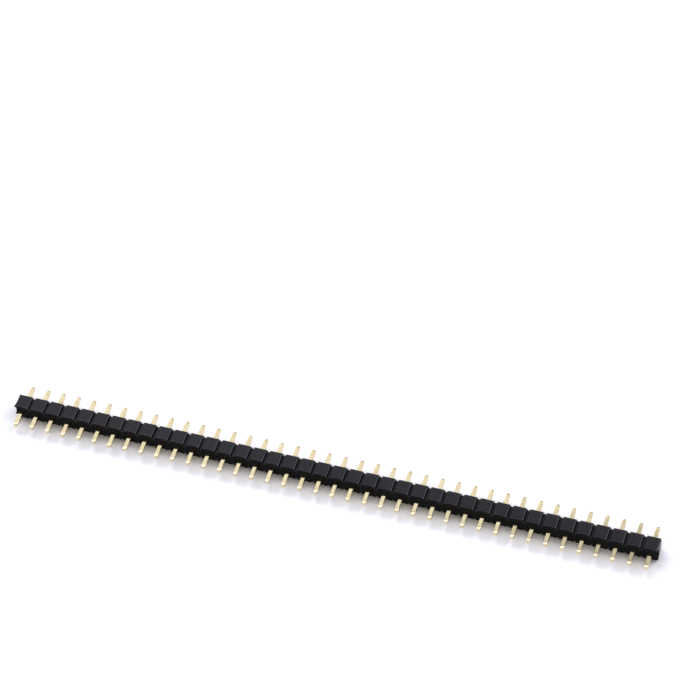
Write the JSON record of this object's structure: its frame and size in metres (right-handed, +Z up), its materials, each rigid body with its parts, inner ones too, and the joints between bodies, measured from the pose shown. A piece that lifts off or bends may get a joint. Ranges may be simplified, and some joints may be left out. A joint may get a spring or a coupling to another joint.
{
  "type": "pin header strip",
  "caption": "Straight single-row breakaway pin header: square pins pressed through a black moulded strip with snap grooves and standoff lands.",
  "frame": {"origin": "under the middle of the row, on the face that the strip lies on, half way along the pins", "axes": "+X along the row, +Y along the pins away from the standoff side, +Z up from the face it lies on"},
  "size_m": [0.1016, 0.008, 0.0024],
  "materials": {
    "housing": "black glass-filled thermoplastic, moulded, satin",
    "pins": "gold flash over nickel on brass square wire, bright"
  },
  "bodies": {
    "root": {"housing": "housing", "pin_01": "pins", "pin_02": "pins", "pin_03": "pins", "pin_04": "pins", "pin_05": "pins", "pin_06": "pins", "pin_07": "pins", "pin_08": "pins", "pin_09": "pins", "pin_10": "pins", "pin_11": "pins", "pin_12": "pins", "pin_13": "pins", "pin_14": "pins", "pin_15": "pins", "pin_16": "pins", "pin_17": "pins", "pin_18": "pins", "pin_19": "pins", "pin_20": "pins", "pin_21": "pins", "pin_22": "pins", "pin_23": "pins", "pin_24": "pins", "pin_25": "pins", "pin_26": "pins", "pin_27": "pins", "pin_28": "pins", "pin_29": "pins", "pin_30": "pins", "pin_31": "pins", "pin_32": "pins", "pin_33": "pins", "pin_34": "pins", "pin_35": "pins", "pin_36": "pins", "pin_37": "pins", "pin_38": "pins", "pin_39": "pins", "pin_40": "pins"}
  },
  "joints": []
}
